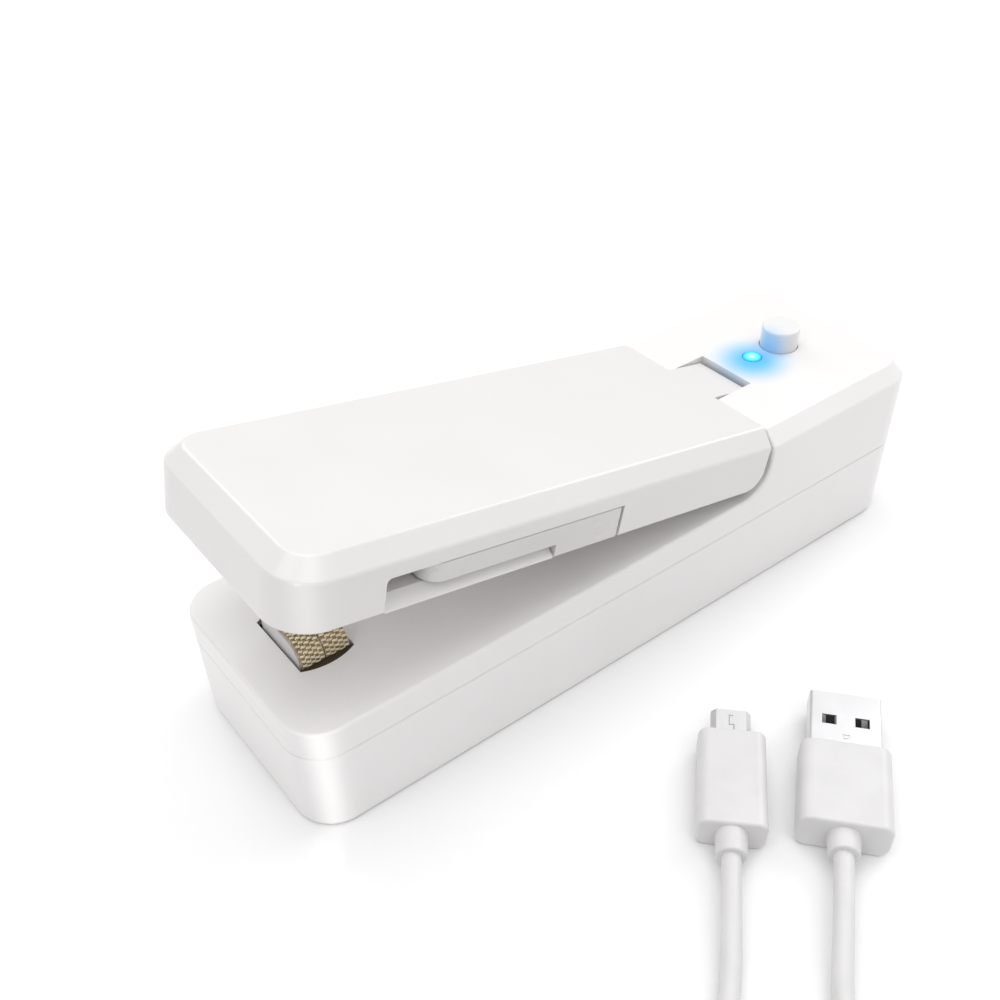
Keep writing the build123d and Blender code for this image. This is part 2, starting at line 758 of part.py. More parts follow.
def cutter_lever():
    grip = lever_slab(lever_nose_x, (lever_low_z, lever_high_z))
    grip = fillet(grip.edges().filter_by(Axis.Z).group_by(Axis.Y)[0].sort_by(Axis.X)[0], lever_nose_r)
    rear = lever_slab(lever_step_x, (arm_low_z, lever_high_z))
    rear = fillet(rear.edges().filter_by(Axis.Z).group_by(Axis.Y)[-1].sort_by(Axis.X)[0], lever_step_r)
    body = grip + rear
    outer = body.edges().filter_by(Axis.X).group_by(Axis.Y)[0]
    body = fillet(outer, lever_edge_r)
    x, y = cutter_pivot()
    body -= upright(cutter_pin_r + pin_clearance, x, y, (arm_low_z, lever_high_z))
    body -= upright(cutter_head_r + slip, x, y, (arm_low_z, arm_low_z + cutter_head_high + 0.4))
    return opened(body - blade_shape())


def cutter_blade():
    return opened(blade_shape())


def cutter_pin():
    x, y = cutter_pivot()
    low = arm_low_z + 0.2
    body = upright(cutter_pin_r, x, y, (low, cutter_pin_top_z))
    return opened(body + upright(cutter_head_r, x, y, (low, low + cutter_head_high)))


# ---------------------------------------------------------------- charging lead


def lead_point(ahead, left, z):
    """A point on the lead's route: ahead along its heading, and to the left of it."""
    cos, sin = math.cos(lead_heading), math.sin(lead_heading)
    return (lead_origin[0] + ahead * cos - left * sin, lead_origin[1] + ahead * sin + left * cos, z)


micro_exit_z = 3.25
usb_a_exit_z = 3.75
micro_route = [
    lead_point(-22.9, -8.5, micro_exit_z),
    lead_point(-12.5, -8.12, micro_exit_z),
    lead_point(0.0, -7.6, lead_r),
    lead_point(13.0, -10.0, lead_r),
    lead_point(26.0, -16.5, lead_r + 0.1),
    lead_point(coil_ahead, -18.9, 2.0),
]
usb_a_route = [
    lead_point(-25.7, 8.6, usb_a_exit_z),
    lead_point(-14.0, 8.2, usb_a_exit_z),
    lead_point(-1.4, 7.7, lead_r),
    lead_point(12.0, 10.2, lead_r),
    lead_point(25.0, 16.6, 3.2),
    lead_point(coil_ahead, 18.9, 5.2),
]


def corner_radii(points):
    """Each corner's arc is as large as its two runs allow."""
    radii = []
    for a, b, c in zip(points, points[1:], points[2:]):
        before, after = Vector(*b) - Vector(*a), Vector(*c) - Vector(*b)
        half_turn = math.radians(before.get_angle(after)) / 2
        radii.append(0.45 * min(before.length, after.length) / math.tan(half_turn))
    return radii


def lead_tube(points):
    """The cord along its route, up to the coil's side."""
    radii = corner_radii(points)
    print("bend radii", [round(radius, 1) for radius in radii])
    path = FilletPolyline(*points, radius=radii)
    section = Plane(origin=path @ 0, z_dir=path % 0) * Circle(lead_r)
    tube = sweep(section, path=path)
    expected = math.pi * lead_r**2 * path.length
    print("tube volume", round(tube.volume, 1), "section times length", round(expected, 1))
    return tube - lead_coil()


def lead_coil():
    """Outer shape of the wound part of the cord."""
    x, y, _ = lead_point(coil_ahead, 0, 0)
    ring = upright(coil_outer_r, x, y, (coil_low_z, coil_high_z))
    ring -= upright(coil_inner_r, x, y, (coil_low_z, coil_high_z))
    return fillet(ring.edges().filter_by(GeomType.CIRCLE), 1.5)


def lead_tie():
    """Strap around the coil's bundle, on the side away from the plugs."""
    half = tie_wide / 2
    inner = (coil_inner_r - 0.3, coil_outer_r + 0.05)
    outer = (inner[0] - tie_thick, inner[1] + tie_thick)
    body = block(outer, (-half, half), (0, coil_high_z + tie_thick))
    body -= block(inner, (-half, half), (tie_thick, coil_high_z))
    x, y, _ = lead_point(coil_ahead, 0, 0)
    return Pos(x, y, 0) * Rot(0, 0, math.degrees(lead_heading)) * body


def on_plug(route, shape):
    """A piece of a plug, from its own frame: +X towards the tip, origin where the cord goes in."""
    exit_point, inside = route[0], route[1]
    heading = math.atan2(exit_point[1] - inside[1], exit_point[0] - inside[0])
    return Pos(*exit_point) * Rot(0, 0, math.degrees(heading)) * shape


def relief(plug):
    """Collar where the cord enters the plug."""
    long = relief_long[plug]
    body = Cone(relief_tip_r, relief_root_r[plug], long)
    body = fillet(body.edges().group_by(Axis.Z)[0], 0.3)
    return Pos(long / 2, 0, 0) * Rot(0, 90, 0) * body


def overmould(plug):
    """The soft grip, behind the metal shell."""
    start = relief_long[plug]
    half_w, half_h = overmould_wide[plug] / 2, overmould_high[plug] / 2
    body = block((start, start + overmould_long[plug]), (-half_w, half_w), (-half_h, half_h))
    body = fillet(body.edges().filter_by(Axis.X), half_h * 0.56)
    return fillet(body.faces().filter_by(Axis.X).edges(), 0.5)


def shell_start(plug):
    return relief_long[plug] + overmould_long[plug]


def micro_plug_relief():
    return on_plug(micro_route, relief("micro"))


def micro_plug_overmould():
    return on_plug(micro_route, overmould("micro"))


def micro_shell_outline(grow):
    """Wide side down, upper corners cut away."""
    half, high = (side + grow for side in micro_shell_half)
    flat, shoulder = half - micro_shell_cut, high - micro_shell_cut
    return Polyline(
        (-half, -high), (half, -high), (half, shoulder), (flat, high),
        (-flat, high), (-half, shoulder), (-half, -high),
    )


def micro_shell_seam(start):
    """The cut along the top where the folded sheet's edges meet, with its dovetail."""
    low_y, high_y = -0.45, 0.35
    tab_rear, tab_front, flare = start + 3.0, start + 4.8, 0.2
    line = Polyline(
        (start, low_y), (tab_rear, low_y), (tab_rear - flare, high_y),
        (tab_front + flare, high_y), (tab_front, low_y), (start + micro_shell_long, low_y),
    )
    return extrude(trace(line, 0.1), 2.0)


def micro_plug_shell():
    start = shell_start("micro")
    outer = make_face(micro_shell_outline(0))
    inner = make_face(micro_shell_outline(-micro_shell_skin))
    body = extrude(Plane.YZ.offset(start) * (outer - inner), micro_shell_long)
    for y in (-1.9, 1.9):
        body -= block((start + 3.4, start + 4.8), (y - 0.5, y + 0.5), (-1.5, -0.6))
    return on_plug(micro_route, body - micro_shell_seam(start))


def micro_plug_core():
    start = shell_start("micro")
    return on_plug(micro_route, block((start, start + 5.6), (-2.3, 2.3), (-0.6, micro_core_top_z)))


def micro_plug_contacts():
    start = shell_start("micro")
    xs, zs = (start + 1.0, start + 5.2), (micro_core_top_z, micro_core_top_z + 0.12)
    ys = [micro_contact_pitch * (i - 2) for i in range(5)]
    return [on_plug(micro_route, block(xs, (y - 0.2, y + 0.2), zs)) for y in ys]


def usb_a_relief():
    return on_plug(usb_a_route, relief("usb_a"))


def usb_a_overmould():
    return on_plug(usb_a_route, overmould("usb_a"))


def usb_a_shell():
    """Folded steel, with two square holes in its top and bottom and a small square pressed in on top."""
    xs = (shell_start("usb_a"), shell_start("usb_a") + usb_a_shell_long)
    half_w, half_h = usb_a_shell_half
    body = block(xs, (-half_w, half_w), (-half_h, half_h))
    body = fillet(body.edges().filter_by(Axis.X), 0.5)
    inner_w, inner_h = half_w - usb_a_shell_skin, half_h - usb_a_shell_skin
    body -= block(xs, (-inner_w, inner_w), (-inner_h, inner_h))
    for y in (-usb_a_hole_y, usb_a_hole_y):
        body -= block((xs[0] + 4.7, xs[0] + 6.8), (y - 1.2, y + 1.2), (-3.0, 3.0))
    mark_x, mark_zs = xs[0] + 2.2, (half_h - 0.12, half_h)
    mark = block((mark_x - 0.5, mark_x + 0.5), (-0.6, 0.6), mark_zs)
    mark -= block((mark_x - 0.25, mark_x + 0.25), (-0.33, 0.33), mark_zs)
    return on_plug(usb_a_route, body - mark)


def usb_a_tongue():
    start = shell_start("usb_a")
    return on_plug(usb_a_route, block((start, start + 11.2), (-5.6, 5.6), (-1.9, 0.0)))


def usb_a_contacts():
    start = shell_start("usb_a")
    xs = (start + 2.0, start + 10.4)
    return [on_plug(usb_a_route, block(xs, (y - 0.5, y + 0.5), (0.0, 0.15))) for y in usb_a_contact_ys]


# ---------------------------------------------------------------- all pieces, one file for each node

nodes = [
    base_lower_shell, base_upper_shell, base_screws, heater_block, heating_strips, heater_cloth,
    heater_frame, heater_wires, battery_cell, battery_tabs, battery_wires, control_board,
    board_components, board_screws, micro_usb_socket, socket_tongue, led_chip, led_lens, button_switch,
    switch_plunger, power_button, hinge_pin, hinge_spring, arm_top_shell, arm_bottom_plate, arm_screws,
    press_pad, cutter_lever, cutter_blade, cutter_pin, lead_coil, lead_tie, micro_plug_relief,
    micro_plug_overmould, micro_plug_shell, micro_plug_core, micro_plug_contacts, usb_a_relief,
    usb_a_overmould, usb_a_shell, usb_a_tongue, usb_a_contacts,
]

os.makedirs("parts", exist_ok=True)


def save(name, made):
    """Write one node; a list of solids becomes one group."""
    solids = made if isinstance(made, list) else [made]
    export_step(Compound(children=[s for part in solids for s in part.solids()]), f"parts/{name}.step")


for make in nodes:
    save(make.__name__, make())
save("lead_tube_micro", lead_tube(micro_route))
save("lead_tube_usb_a", lead_tube(usb_a_route))
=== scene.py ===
import math
import random

import bpy
from mathutils import Matrix, Vector


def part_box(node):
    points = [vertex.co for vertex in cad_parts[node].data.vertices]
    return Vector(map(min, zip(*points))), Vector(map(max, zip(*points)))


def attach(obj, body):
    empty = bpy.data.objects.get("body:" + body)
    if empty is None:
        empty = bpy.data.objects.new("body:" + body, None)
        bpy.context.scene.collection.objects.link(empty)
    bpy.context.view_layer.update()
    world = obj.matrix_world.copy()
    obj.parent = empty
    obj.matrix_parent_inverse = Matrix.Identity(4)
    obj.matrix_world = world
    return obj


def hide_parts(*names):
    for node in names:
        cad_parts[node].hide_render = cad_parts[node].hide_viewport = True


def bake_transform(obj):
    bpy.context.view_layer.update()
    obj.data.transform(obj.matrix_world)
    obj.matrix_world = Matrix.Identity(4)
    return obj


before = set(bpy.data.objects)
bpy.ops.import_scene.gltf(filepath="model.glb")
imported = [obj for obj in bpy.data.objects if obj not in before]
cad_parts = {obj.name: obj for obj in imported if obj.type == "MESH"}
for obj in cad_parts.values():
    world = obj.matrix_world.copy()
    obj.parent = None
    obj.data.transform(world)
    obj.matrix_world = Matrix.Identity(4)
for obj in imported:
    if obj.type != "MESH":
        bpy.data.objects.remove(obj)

# The looks of a handheld bag heat sealer and its charging lead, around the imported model.
# All lengths are metres in the model's frame: +X from the jaws to the rear block, -Y the side with the
# cutter, +Z up. Names that end in _mm or _MM hold millimetres.

MM = 0.001
ALONG_X = Vector((1, 0, 0))
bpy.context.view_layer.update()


def mm(*values):
    """Millimetres as metres."""
    return Vector(values) * MM


def middle(node):
    """Middle of a node's box."""
    low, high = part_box(node)
    return (low + high) / 2


# ---------------------------------------------------------------- camera

CAMERA_AZIMUTH = -36.372
CAMERA_ELEVATION = 42.82
CAMERA_ROLL = -1.679
CAMERA_TARGET = mm(-17.535, 0, 8.42)
CAMERA_DISTANCE = 0.21501
CAMERA_LENS_MM = 40.9
CAMERA_SENSOR_MM = 36.0
CAMERA_SHIFT_Y = 0.093


def make_camera():
    """The camera, aimed at its target from that azimuth and elevation."""
    azimuth = math.radians(CAMERA_AZIMUTH)
    elevation = math.radians(CAMERA_ELEVATION)
    flat = math.cos(elevation)
    back = Vector((math.sin(azimuth) * flat, -math.cos(azimuth) * flat, math.sin(elevation)))
    data = bpy.data.cameras.new("camera")
    data.sensor_width = CAMERA_SENSOR_MM
    data.lens = CAMERA_LENS_MM
    data.shift_y = CAMERA_SHIFT_Y
    data.clip_start = 0.01
    camera = bpy.data.objects.new("camera", data)
    bpy.context.scene.collection.objects.link(camera)
    turn = (-back).to_track_quat("-Z", "Y").to_matrix().to_4x4()
    roll = Matrix.Rotation(math.radians(CAMERA_ROLL), 4, "Z")
    camera.matrix_world = Matrix.Translation(CAMERA_TARGET + back * CAMERA_DISTANCE) @ turn @ roll
    bpy.context.scene.camera = camera


make_camera()


# ---------------------------------------------------------------- charging cord

CORD_R = 0.0016
LEAD_ORIGIN_MM = (-34.3, -87.9)
LEAD_HEADING = math.radians(222.2)
COIL_AHEAD_MM = 38.0
COIL_OUTER_MM = 18.9
COIL_INNER_MM = 15.7
COIL_LOW_MM = 2.05
COIL_HIGH_MM = 5.25
COIL_TURNS = 3.5
COIL_STEPS = 16  # points for each turn
COIL_CLIMB_IN_MM = 1.0  # the climb to the upper layer passes inside the inner turns
COIL_CLIMB_UP_MM = 0.3


def lead_point(ahead, left, z):
    """A point on the lead's route, in millimetres: ahead along its heading, and to the left of it."""
    cos, sin = math.cos(LEAD_HEADING), math.sin(LEAD_HEADING)
    x = LEAD_ORIGIN_MM[0] + ahead * cos - left * sin
    y = LEAD_ORIGIN_MM[1] + ahead * sin + left * cos
    return mm(x, y, z)


MICRO_ROUTE = [
    lead_point(-22.9, -8.5, 3.25),
    lead_point(-12.5, -8.12, 3.25),
    lead_point(0.0, -7.6, 1.6),
    lead_point(13.0, -10.0, 1.6),
    lead_point(26.0, -16.5, 1.7),
]
USB_A_ROUTE = [
    lead_point(-25.7, 8.6, 3.75),
    lead_point(-14.0, 8.2, 3.75),
    lead_point(-1.4, 7.7, 1.6),
    lead_point(12.0, 10.2, 1.6),
    lead_point(24.0, 17.6, 3.6),
]


def coil_place(turns):
    """Radius and height after that many turns: outer low, inner low, inner high, outer high."""
    stops = [
        (0.0, COIL_OUTER_MM, COIL_LOW_MM),
        (0.80, COIL_OUTER_MM, COIL_LOW_MM),
        (1.0, COIL_INNER_MM, COIL_LOW_MM),
        (1.80, COIL_INNER_MM, COIL_LOW_MM),
        (1.90, COIL_INNER_MM - COIL_CLIMB_IN_MM, (COIL_LOW_MM + COIL_HIGH_MM) / 2 + COIL_CLIMB_UP_MM),
        (2.0, COIL_INNER_MM, COIL_HIGH_MM),
        (2.80, COIL_INNER_MM, COIL_HIGH_MM),
        (3.0, COIL_OUTER_MM, COIL_HIGH_MM),
        (COIL_TURNS, COIL_OUTER_MM, COIL_HIGH_MM),
    ]
    for before, after in zip(stops, stops[1:]):
        if turns <= after[0]:
            share = (turns - before[0]) / (after[0] - before[0])
            share = share * share * (3 - 2 * share)
            return [a + (b - a) * share for a, b in zip(before[1:], after[1:])]
    return stops[-1][1:]


def coil_points():
    """Three and a half turns, anticlockwise from above, from the micro plug's side to the other."""
    pull_in = math.cos(math.pi / COIL_STEPS) ** 0.75  # a spline runs inside its control points
    points = []
    for step in range(int(COIL_TURNS * COIL_STEPS) + 1):
        turns = step / COIL_STEPS
        radius, height = coil_place(turns)
        angle = 2 * math.pi * turns
        ahead = COIL_AHEAD_MM + radius / pull_in * math.sin(angle)
        left = -radius / pull_in * math.cos(angle)
        points.append(lead_point(ahead, left, height))
    return points


def make_cord():
    """The cord as a mesh tube, and the line that it follows."""
    curve = bpy.data.curves.new("cord_route", "CURVE")
    curve.dimensions = "3D"
    curve.resolution_u = 8
    points = MICRO_ROUTE + coil_points() + USB_A_ROUTE[::-1]
    spline = curve.splines.new("NURBS")
    spline.points.add(len(points) - 1)
    for target, point in zip(spline.points, points):
        target.co = (*point, 1.0)
    spline.order_u = 3
    spline.use_endpoint_u = True
    route = bpy.data.objects.new("cord_route", curve)
    line = bpy.data.meshes.new_from_object(route)
    path = [tuple(vertex.co) for vertex in line.vertices]
    curve.bevel_depth = CORD_R
    curve.bevel_resolution = 6
    curve.use_fill_caps = True
    tube = bpy.data.meshes.new_from_object(route)
    tube.name = "charging_cord"
    tube.shade_smooth()
    bpy.data.objects.remove(route)
    bpy.data.meshes.remove(line)
    cord = bpy.data.objects.new("charging_cord", tube)
    bpy.context.scene.collection.objects.link(cord)
    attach(cord, "base")
    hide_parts("lead_tube_micro", "lead_tube_usb_a", "lead_coil")
    return cord, path


cord, cord_path = make_cord()


# ---------------------------------------------------------------- node materials


class Surface:
    """One procedural material. Its textures are placed by the model's own coordinates."""

    def __init__(self, name):
        self.material = bpy.data.materials.new(name)
        self.material.use_nodes = True
        self.tree = self.material.node_tree
        self.shader = self.tree.nodes["Principled BSDF"]
        self.place = self.node("ShaderNodeTexCoord").outputs["Object"]

    def node(self, kind, **settings):
        """A new node of that kind, with its settings."""
        made = self.tree.nodes.new(kind)
        for key, value in settings.items():
            setattr(made, key, value)
        return made

    def feed(self, socket, value):
        """Links a node's output to the socket, or sets a plain value."""
        if isinstance(value, bpy.types.NodeSocket):
            self.tree.links.new(value, socket)
        else:
            socket.default_value = value

    def set(self, **values):
        """Shader inputs by name, with _ for a space."""
        for key, value in values.items():
            self.feed(self.shader.inputs[key.replace("_", " ")], value)

    def drawn_out(self, heading, times):
        """The model's coordinates, so that a texture is that many times longer along a heading in plan."""
        mapping = self.node("ShaderNodeMapping", vector_type="TEXTURE")
        mapping.inputs["Rotation"].default_value = (0.0, 0.0, heading)
        mapping.inputs["Scale"].default_value = (times, 1.0, 1.0)
        self.feed(mapping.inputs["Vector"], self.place)
        return mapping.outputs["Vector"]

    def noise(self, size_mm, detail=3.0, roughness=0.5, place=None):
        """Soft noise whose features are about size_mm across."""
        texture = self.node("ShaderNodeTexNoise")
        self.feed(texture.inputs["Vector"], place or self.place)
        texture.inputs["Scale"].default_value = 1 / (size_mm * MM)
        texture.inputs["Detail"].default_value = detail
        texture.inputs["Roughness"].default_value = roughness
        return texture.outputs["Fac"]

    def cells(self, size_mm):
        """Distance from the nearest of scattered points that are about size_mm apart."""
        texture = self.node("ShaderNodeTexVoronoi")
        self.feed(texture.inputs["Vector"], self.place)
        texture.inputs["Scale"].default_value = 1 / (size_mm * MM)
        return texture.outputs["Distance"]

    def spread(self, value, low, high, start=0.3, end=0.7):
        """Goes softly from low to high as value goes from start to end."""
        mapped = self.node("ShaderNodeMapRange", interpolation_type="SMOOTHSTEP")
        self.feed(mapped.inputs["Value"], value)
        self.feed(mapped.inputs["From Min"], start)
        self.feed(mapped.inputs["From Max"], end)
        self.feed(mapped.inputs["To Min"], low)
        self.feed(mapped.inputs["To Max"], high)
        return mapped.outputs["Result"]

    def math(self, operation, a, b):
        """Arithmetic on two numbers or outputs."""
        made = self.node("ShaderNodeMath", operation=operation)
        self.feed(made.inputs[0], a)
        self.feed(made.inputs[1], b)
        return made.outputs[0]

    def mix(self, share, first, second):
        """From the first colour to the second as share goes from 0 to 1."""
        made = self.node("ShaderNodeMix", data_type="RGBA")
        self.feed(made.inputs["Factor"], share)
        for socket, value in zip((made.inputs[6], made.inputs[7]), (first, second)):
            self.feed(socket, value if isinstance(value, bpy.types.NodeSocket) else (*value, 1.0))
        return made.outputs[2]

    def ramp(self, value, *stops):
        """A colour ramp; each stop is (position, colour)."""
        made = self.node("ShaderNodeValToRGB")
        ramp = made.color_ramp
        ramp.interpolation = "EASE"
        while len(ramp.elements) < len(stops):
            ramp.elements.new(0.5)
        for element, (position, colour) in zip(ramp.elements, stops):
            element.position = position
            element.color = (*colour, 1.0)
        self.feed(made.inputs["Fac"], value)
        return made.outputs["Color"]

    def uneven(self, value, centre, swing):
        """A level that value moves by up to swing about its centre."""
        return self.math("ADD", self.spread(value, -swing, swing), centre)

    def bump(self, height, depth_mm, normal=None):
        """Height from 0 to 1, as that depth in millimetres."""
        made = self.node("ShaderNodeBump")
        made.inputs["Distance"].default_value = depth_mm * MM
        self.feed(made.inputs["Height"], height)
        if normal:
            self.feed(made.inputs["Normal"], normal)
        return made.outputs["Normal"]

    def distance_from(self, point):
        """Distance from a point of the model, in metres."""
        made = self.node("ShaderNodeVectorMath", operation="DISTANCE")
        self.feed(made.inputs[0], self.place)
        made.inputs[1].default_value = point
        return made.outputs["Value"]


def dimmed(tint, share):
    """A tint at that share of its brightness."""
    return tuple(value * share for value in tint)


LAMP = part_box("led_lens")[1].copy()
LAMP.x, LAMP.y = middle("led_lens").x, middle("led_lens").y
GLOW_MIDDLE = LAMP + mm(-0.9, -0.9, 0)
GLOW_BLUE = (0.075, 0.50, 1.0)
GLOW_SHARE = 0.96
GLOW_FULL_MM = 1.2
GLOW_REACH_MM = 9.6
LENS_REACH_MM = 2.4


def glow(surface, colour):
    """The blue light that the lamp spreads through the white plastic around it."""
    away = surface.distance_from(GLOW_MIDDLE)
    near = surface.spread(away, GLOW_SHARE, 0.0, GLOW_FULL_MM * MM, GLOW_REACH_MM * MM)
    return surface.mix(near, colour, GLOW_BLUE)


def white_plastic(name, tint, roughness=0.30, lit=False):
    """Glossy moulded ABS: faint clouding, shallow flow waves and slightly uneven gloss."""
    s = Surface(name)
    colour = s.mix(s.spread(s.noise(24.0, 2.0), 0.0, 1.0), dimmed(tint, 0.982), tint)
    colour = glow(s, colour) if lit else colour
    gloss = s.uneven(s.noise(9.0), roughness, 0.025)
    flow = s.bump(s.noise(6.0, 1.0), 0.006)
    s.set(Base_Color=colour, Roughness=gloss, Normal=s.bump(s.noise(0.8, 1.0), 0.0007, flow))
    s.set(IOR=1.52, Coat_Weight=0.25, Coat_Roughness=0.12)
    return s.material


def soft_plastic(name, tint, roughness=0.42):
    """Satin PVC of the lead: faint clouding, slightly uneven gloss and a fine-grained skin."""
    s = Surface(name)
    colour = s.mix(s.spread(s.noise(6.0), 0.0, 1.0), dimmed(tint, 0.95), tint)
    gloss = s.uneven(s.noise(2.0), roughness, 0.05)
    s.set(Base_Color=colour, Roughness=gloss, Normal=s.bump(s.noise(0.18), 0.004))
    s.set(IOR=1.5, Coat_Weight=0.1, Coat_Roughness=0.3)
    return s.material


def plain_resin(name, tint, roughness, speck, grain_mm=0.25):
    """Filled moulding resin with specks of filler."""
    s = Surface(name)
    specks = s.spread(s.cells(grain_mm), 1.0, 0.0, 0.1, 0.35)
    clouds = s.spread(s.noise(3.0, 4.0), 0.0, 1.0)
    colour = s.mix(clouds, tint, dimmed(tint, 0.88))
    colour = s.mix(s.math("MULTIPLY", specks, 0.5), colour, speck)
    gloss = s.uneven(s.noise(0.8), roughness, 0.06)
    s.set(Base_Color=colour, Roughness=gloss, Normal=s.bump(s.noise(grain_mm / 2), 0.01))
    return s.material


def metal(name, tint, roughness, heading=0.0, line_mm=0.12, deep_mm=0.0004):
    """Drawn or rolled metal: fine lines along its heading in plan, faint stains and uneven gloss."""
    s = Surface(name)
    lines = s.noise(line_mm, 3.0, 0.6, s.drawn_out(heading, 40.0))
    stain = s.spread(s.noise(5.0, 2.0), 0.0, 1.0)
    colour = s.mix(stain, tint, dimmed(tint, 0.96))
    gloss = s.uneven(lines, roughness, 0.04)
    s.set(Base_Color=colour, Metallic=1.0, Roughness=gloss, Normal=s.bump(lines, deep_mm))
    return s.material


def glass_yarn(name, low, mid, high):
    """Coated glass yarn: bundles of fine fibres, from browner dips to pale crests, with the colour tied in
    part to the fibre bump: painted shade in the dips and painted highlight on the crests.
    """
    s = Surface(name)
    fibres = s.noise(0.07, 3.0, 0.6)
    # Painted highlight and shade: a share of the fibre bump goes into the tone, so the bump's crests take
    # the pale stop and its dips the brown one; the rest of the tone is the yarn's own uneven colour.
    tone = s.math("ADD", s.math("MULTIPLY", s.noise(0.7, 2.0), 0.6), s.math("MULTIPLY", fibres, 0.4))
    colour = s.ramp(tone, (0.32, low), (0.47, mid), (0.62, high))
    s.set(Base_Color=colour, Roughness=s.spread(fibres, 0.30, 0.50), Normal=s.bump(fibres, 0.012))
    s.set(Sheen_Weight=0.15, Sheen_Roughness=0.4, Coat_Weight=0.3, Coat_Roughness=0.25)
    return s.material


def lamp_lens(name):
    """Clear light guide, lit from below: bright cyan with a darker teal rim."""
    s = Surface(name)
    away = s.distance_from(LAMP)
    body = s.ramp(
        s.spread(away, 0.0, 1.0, 0.0, LENS_REACH_MM * MM),
        (0.0, (0.32, 1.0, 1.0)),
        (0.42, (0.10, 0.80, 0.95)),
        (0.72, (0.02, 0.42, 0.60)),
        (1.0, (0.0, 0.16, 0.30)),
    )
    s.set(Base_Color=body, Emission_Color=body, Emission_Strength=0.75)
    s.set(Roughness=s.spread(s.noise(0.4, 2.0), 0.10, 0.2), Normal=s.bump(s.noise(0.5, 2.0), 0.004))
    return s.material


def circuit_board(name):
    """Green solder mask with copper tracks showing through it."""
    s = Surface(name)
    brick = s.node("ShaderNodeTexBrick")
    s.feed(brick.inputs["Vector"], s.place)
    brick.inputs["Scale"].default_value = 1 / (3.0 * MM)
    brick.inputs["Mortar Size"].default_value = 0.04
    tracks = brick.outputs["Fac"]
    colour = s.mix(tracks, (0.012, 0.13, 0.035), (0.03, 0.25, 0.07))
    colour = s.mix(s.spread(s.noise(2.0), 0.0, 0.4), colour, (0.008, 0.09, 0.03))
    s.set(Base_Color=colour, Roughness=s.spread(s.noise(0.6), 0.25, 0.4), Normal=s.bump(tracks, 0.03))
    return s.material


def sleeve(name, tint):
    """Shrink sleeve or wire insulation."""
    s = Surface(name)
    colour = s.mix(s.spread(s.noise(1.5), 0.0, 1.0), tint, dimmed(tint, 0.7))
    gloss = s.spread(s.noise(0.5), 0.3, 0.45)
    s.set(Base_Color=colour, Roughness=gloss, Normal=s.bump(s.noise(0.3), 0.01))
    return s.material


BASE_WHITE = (0.820, 0.804, 0.800)
# The arm's white is the base's white darkened by about a tenth: painted shade for the arm's sides, which
# dims the arm's top as well.
ARM_WHITE_PAINTED_SHADE = (0.745, 0.728, 0.723)
PLUG_HEADING = LEAD_HEADING + math.pi

MATERIALS = {
    "white": white_plastic("white_abs", BASE_WHITE),
    "white_lit": white_plastic("white_abs_by_lamp", BASE_WHITE, lit=True),
    # painted shade: the arm's shells take the darker copy of the base's white
    "white_arm_painted_shade": white_plastic("white_abs_arm_painted_shade", ARM_WHITE_PAINTED_SHADE),
    # painted shade: the lever is the base's white darkened by a fifth, for the shade in its recess
    "lever": white_plastic("white_abs_lever_painted_shade", (0.66, 0.643, 0.638), 0.26),
    "button": white_plastic("button_abs", (0.78, 0.775, 0.775), 0.34, lit=True),
    "pvc": soft_plastic("lead_pvc", (0.70, 0.69, 0.69)),
    "tie": soft_plastic("tie_plastic", (0.55, 0.55, 0.56), 0.5),
    "heater": plain_resin("heater_resin", (0.70, 0.69, 0.685), 0.5, (0.77, 0.76, 0.75)),
    "brown": plain_resin("brown_phenolic", (0.040, 0.025, 0.009), 0.42, (0.11, 0.07, 0.025)),
    "black": plain_resin("black_epoxy", (0.018, 0.018, 0.02), 0.45, (0.06, 0.06, 0.06)),
    "plug_core": plain_resin("plug_core", (0.80, 0.80, 0.79), 0.4, (0.88, 0.88, 0.86)),
    "plunger": plain_resin("plunger_white", (0.75, 0.75, 0.73), 0.45, (0.85, 0.85, 0.84)),
    "silicone": plain_resin("silicone", (0.42, 0.42, 0.41), 0.6, (0.52, 0.52, 0.50), 0.4),
    "ribbon": metal("heating_ribbon", (0.55, 0.50, 0.44), 0.4, math.pi / 2),
    "steel": metal("plated_steel", (0.76, 0.76, 0.77), 0.40, PLUG_HEADING),
    "socket": metal("socket_steel", (0.80, 0.80, 0.81), 0.3),
    "screw": metal("screw_steel", (0.55, 0.55, 0.56), 0.35),
    "pin": metal("pin_steel", (0.62, 0.62, 0.64), 0.22, math.pi / 2),
    "spring": metal("spring_steel", (0.45, 0.45, 0.47), 0.3),
    "blade": metal("blade_steel", (0.72, 0.73, 0.75), 0.25, math.pi / 2),
    "nickel": metal("nickel_tab", (0.70, 0.67, 0.60), 0.33),
    "gold": metal("contact_gold", (0.83, 0.58, 0.24), 0.25, PLUG_HEADING),
    # The weft's pale stops are partly a painted highlight on the grains.
    "weft": glass_yarn("glass_weft", (0.60, 0.45, 0.24), (0.90, 0.78, 0.53), (0.96, 0.90, 0.73)),
    # The warp's dark browns are partly painted shade for the gaps between the weft grains.
    "warp": glass_yarn("glass_warp", (0.13, 0.08, 0.03), (0.26, 0.175, 0.08), (0.42, 0.31, 0.16)),
    "edge": glass_yarn("cloth_edge", (0.30, 0.20, 0.16), (0.42, 0.30, 0.25), (0.55, 0.42, 0.36)),
    "lens": lamp_lens("light_guide"),
    "chip": plain_resin("led_emitter", (0.70, 0.62, 0.20), 0.3, (0.85, 0.80, 0.50)),
    "board": circuit_board("board_green"),
    "red": sleeve("wire_sleeve", (0.45, 0.03, 0.03)),
    "wrap": sleeve("cell_wrap", (0.04, 0.13, 0.36)),
}

